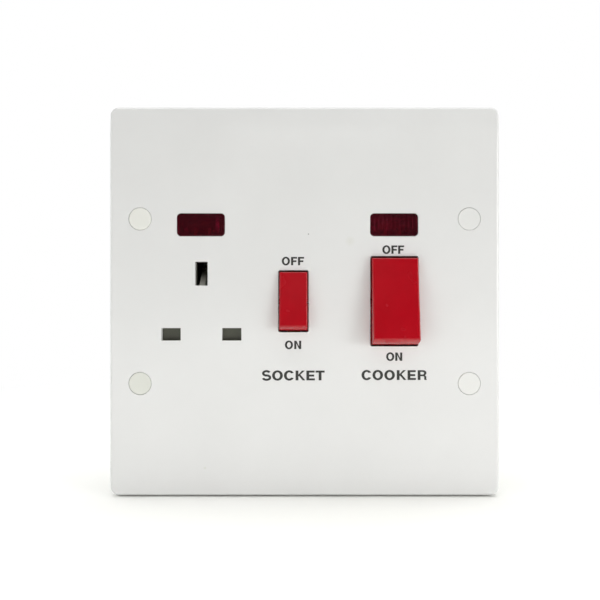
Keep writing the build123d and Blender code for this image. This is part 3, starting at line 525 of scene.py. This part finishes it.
def print_word(text, x, z, cap_height, width, stretch):
    """A word printed on the face, centred at x, with its capitals centred at z."""
    size = cap_height / CAP_HEIGHT
    wide = size * stretch
    pens, pen = [], 0
    for letter in text:
        pens.append(pen)
        pen += ADVANCE[letter]
    outlines = [letter_outlines(letter) for letter in text]
    points = [px + p for lines, p in zip(outlines, pens) for line in lines for px, _ in line]
    ink = (max(points) - min(points)) * wide
    tracking = (width - ink) / (len(text) - 1)
    curve = bpy.data.curves.new(f"print_{text.lower()}", "CURVE")
    curve.dimensions = "2D"
    curve.fill_mode = "BOTH"
    curve.extrude = (PRINT_FRONT + PRINT_BACK) / 2
    left = x - width / 2 - min(points) * wide
    for i, lines in enumerate(outlines):
        for line in lines:
            spline = curve.splines.new("POLY")
            spline.points.add(len(line) - 1)
            for point, (px, py) in zip(spline.points, line):
                across = left + (px + pens[i]) * wide + i * tracking
                point.co = (across, z + (py - CAP_HEIGHT / 2) * size, 0, 1)
            spline.use_cyclic_u = True
    flat = bpy.data.objects.new(curve.name, curve)
    bpy.context.scene.collection.objects.link(flat)
    flat.rotation_euler = (math.pi / 2, 0, 0)
    flat.location = (0, FACE_Y - (PRINT_FRONT - PRINT_BACK) / 2, 0)
    bpy.context.view_layer.update()
    solid = flat.evaluated_get(bpy.context.evaluated_depsgraph_get())
    mesh = bpy.data.meshes.new_from_object(solid)
    mesh.transform(flat.matrix_world)
    bpy.data.objects.remove(flat)
    return mesh


def lettering():
    ink = print_ink().material
    words = [
        ("socket_off", "OFF", -4.3, 14.7, 3.05, 8.15, 1.02),
        ("socket_on", "ON", -4.25, -16.0, 3.05, 6.0, 1.02),
        ("cooker_off", "OFF", 32.45, 18.9, 3.05, 8.0, 1.02),
        ("cooker_on", "ON", 32.8, -20.3, 3.05, 5.9, 1.02),
        ("socket_word", "SOCKET", -4.15, -27.2, 3.6, 22.95, 1.14),
        ("cooker_word", "COOKER", 32.8, -27.05, 3.6, 23.95, 1.12),
    ]
    for name, text, x, z, height, width, stretch in words:
        mesh = print_word(text, x * MM, z * MM, height * MM, width * MM, stretch)
        mesh.name = f"print_{name}"
        mesh.materials.append(ink)
        piece = bpy.data.objects.new(f"print_{name}", mesh)
        bpy.context.scene.collection.objects.link(piece)
        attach(piece, "plate")


def shutter_coil():
    """The shutter's spring, as a copy of its own that takes the place of the CAD spring."""
    mesh = frame["nodes"]["shutter_spring"].data.copy()
    coil = bpy.data.objects.new("shutter_spring_coil", mesh)
    bpy.context.scene.collection.objects.link(coil)
    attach(coil, "plate")
    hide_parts("shutter_spring")
    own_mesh(coil)


def floor():
    """A pale floor that keeps the shadow of the plate and turns white further off."""
    mesh = bpy.data.meshes.new("floor")
    half = 4.0
    corners = [(-half, -half), (half, -half), (half, half), (-half, half)]
    mesh.from_pydata([(x, y, FLOOR_Z) for x, y in corners], [], [(0, 1, 2, 3)])
    piece = bpy.data.objects.new("floor", mesh)
    bpy.context.scene.collection.objects.link(piece)
    shader = Shader("floor")
    shader.colour(shader.mixed(
        shader.ranged(shader.noise(0.15), 0.0, 1.0), linear(253, 254, 249), linear(255, 255, 252)
    ))
    shader.rough(shader.ranged(shader.noise(0.05), 0.6, 0.8))
    reach = shader.add("ShaderNodeVectorMath", operation="LENGTH")
    shader.link(shader.place, reach.inputs[0])
    away = shader.ranged(reach.outputs["Value"], 0.0, 1.0, (0.12, 0.36))
    path = shader.add("ShaderNodeLightPath")
    seen = shader.math("MULTIPLY", away, path.outputs["Is Camera Ray"])
    white = shader.add("ShaderNodeEmission")
    blend = shader.add("ShaderNodeMixShader")
    output = next(n for n in shader.tree.nodes if n.type == "OUTPUT_MATERIAL")
    shader.link(seen, blend.inputs["Fac"])
    shader.link(shader.surface.outputs["BSDF"], blend.inputs[1])
    shader.link(white.outputs["Emission"], blend.inputs[2])
    shader.link(blend.outputs["Shader"], output.inputs["Surface"])
    mesh.materials.append(shader.material)


def studio_world():
    """White where the camera looks. The room behind the camera is dim, the rest is pale."""
    world = bpy.data.worlds.new("studio")
    bpy.context.scene.world = world
    world.use_nodes = True
    nodes, links = world.node_tree.nodes, world.node_tree.links
    nodes.clear()
    direction = nodes.new("ShaderNodeTexCoord")
    split = nodes.new("ShaderNodeSeparateXYZ")
    links.new(direction.outputs["Generated"], split.inputs["Vector"])
    dim = nodes.new("ShaderNodeMapRange")
    dim.inputs["From Min"].default_value = -0.9
    dim.inputs["From Max"].default_value = 0.1
    dim.inputs["To Min"].default_value = 0.06
    dim.inputs["To Max"].default_value = 0.75
    links.new(split.outputs["Y"], dim.inputs["Value"])
    room = nodes.new("ShaderNodeBackground")
    links.new(dim.outputs["Result"], room.inputs["Strength"])
    white = nodes.new("ShaderNodeBackground")
    path = nodes.new("ShaderNodeLightPath")
    seen = nodes.new("ShaderNodeMath")
    seen.operation = "MAXIMUM"
    links.new(path.outputs["Is Camera Ray"], seen.inputs[0])
    links.new(path.outputs["Is Transmission Ray"], seen.inputs[1])
    blend = nodes.new("ShaderNodeMixShader")
    links.new(seen.outputs["Value"], blend.inputs["Fac"])
    links.new(room.outputs["Background"], blend.inputs[1])
    links.new(white.outputs["Background"], blend.inputs[2])
    for node in (room, white):
        node.inputs["Color"].default_value = (1, 1, 1, 1)
    output = nodes.new("ShaderNodeOutputWorld")
    links.new(blend.outputs["Shader"], output.inputs["Surface"])


def softbox(name, place, size, power):
    light = bpy.data.lights.new(name, "AREA")
    light.shape = "RECTANGLE"
    light.size, light.size_y = size
    light.energy = power
    lamp = bpy.data.objects.new(name, light)
    bpy.context.scene.collection.objects.link(lamp)
    lamp.location = place
    aim = Vector((0, FACE_Y, 0)) - Vector(place)
    lamp.rotation_euler = aim.to_track_quat("-Z", "Y").to_euler()
    return lamp


def lights():
    turn = math.radians(SIDE_ANGLE)
    across = SIDE_DISTANCE * math.sin(turn)
    back = FACE_Y - SIDE_DISTANCE * math.cos(turn)
    softbox("left_softbox", (-across, back, LEFT_RISE), SIDE_SIZE, LEFT_POWER)
    softbox("right_softbox", (across, back, RIGHT_RISE), SIDE_SIZE, RIGHT_POWER)
    softbox("top_softbox", (0, -0.05, TOP_HEIGHT), TOP_SIZE, TOP_POWER)
    softbox("band_softbox", BAND_PLACE, BAND_SIZE, BAND_POWER)
    card = softbox("bounce_card", BOUNCE_PLACE, BOUNCE_SIZE, BOUNCE_POWER)
    card.visible_camera = False
    card.visible_glossy = False


def camera():
    data = bpy.data.cameras.new("camera")
    data.sensor_width = SENSOR
    data.lens = PIXELS_PER_MM * VIEW_DISTANCE / MM * SENSOR / IMAGE_PIXELS
    data.clip_start = 0.01
    data.clip_end = 50
    piece = bpy.data.objects.new("camera", data)
    bpy.context.scene.collection.objects.link(piece)
    piece.location = (VIEW_X, FACE_Y - VIEW_DISTANCE, VIEW_Z)
    piece.rotation_euler = (math.pi / 2, 0, 0)
    bpy.context.scene.camera = piece


dress_frame()
lettering()
shutter_coil()
floor()
studio_world()
lights()
camera()
bpy.context.scene.view_settings.view_transform = "Standard"
